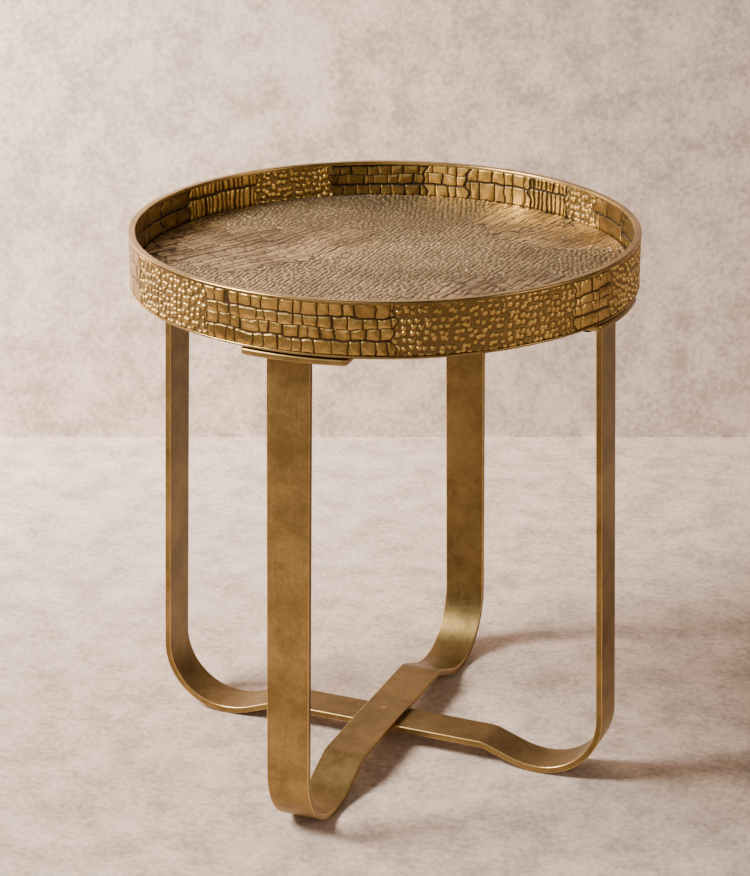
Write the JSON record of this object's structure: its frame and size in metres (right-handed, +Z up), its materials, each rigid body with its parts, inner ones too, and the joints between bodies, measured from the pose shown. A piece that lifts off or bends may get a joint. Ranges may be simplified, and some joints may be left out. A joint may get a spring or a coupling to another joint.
{
  "type": "tray side table",
  "caption": "Round side table: an embossed brass tray with a raised wall, fixed on two crossed flat bars bent into U-shaped legs with curved feet.",
  "frame": {"origin": "on the floor, under the middle of the tray", "axes": "+Z up, front leg at -Y and rear leg at +Y on the upper bar, left leg at -X and right leg at +X on the lower bar"},
  "size_m": [0.46, 0.46, 0.512],
  "materials": {
    "embossed_outer_brass": "aged, embossed",
    "embossed_inner_brass": "aged, embossed",
    "embossed_floor_brass": "aged, embossed",
    "cap_brass": "burnished",
    "bead_brass": "burnished",
    "leg_brass": "satin antique",
    "plate_brass": "satin antique",
    "rivet_brass": "satin antique",
    "braze_metal": "as brazed, toned to match",
    "screw_steel": "blackened",
    "insert_brass": "turned",
    "bentwood_hoop": "raw plywood",
    "core_board": "board, underside stained dark",
    "pad_rubber": "matte"
  },
  "bodies": {
    "root": {"rim_hoop": "bentwood_hoop", "outer_band": "embossed_outer_brass", "inner_band": "embossed_inner_brass", "rim_cap": "cap_brass", "base_bead": "bead_brass", "core_board": "core_board", "floor_sheet": "embossed_floor_brass", "lower_leg_bar": "leg_brass", "upper_leg_bar": "leg_brass", "cross_rivet": "rivet_brass", "right_mounting_plate": "plate_brass", "right_weld_bead": "braze_metal", "right_plate_screws": "screw_steel", "right_threaded_inserts": "insert_brass", "right_floor_pad": "pad_rubber", "rear_mounting_plate": "plate_brass", "rear_weld_bead": "braze_metal", "rear_plate_screws": "screw_steel", "rear_threaded_inserts": "insert_brass", "rear_floor_pad": "pad_rubber", "left_mounting_plate": "plate_brass", "left_weld_bead": "braze_metal", "left_plate_screws": "screw_steel", "left_threaded_inserts": "insert_brass", "left_floor_pad": "pad_rubber", "front_mounting_plate": "plate_brass", "front_weld_bead": "braze_metal", "front_plate_screws": "screw_steel", "front_threaded_inserts": "insert_brass", "front_floor_pad": "pad_rubber"}
  },
  "joints": []
}
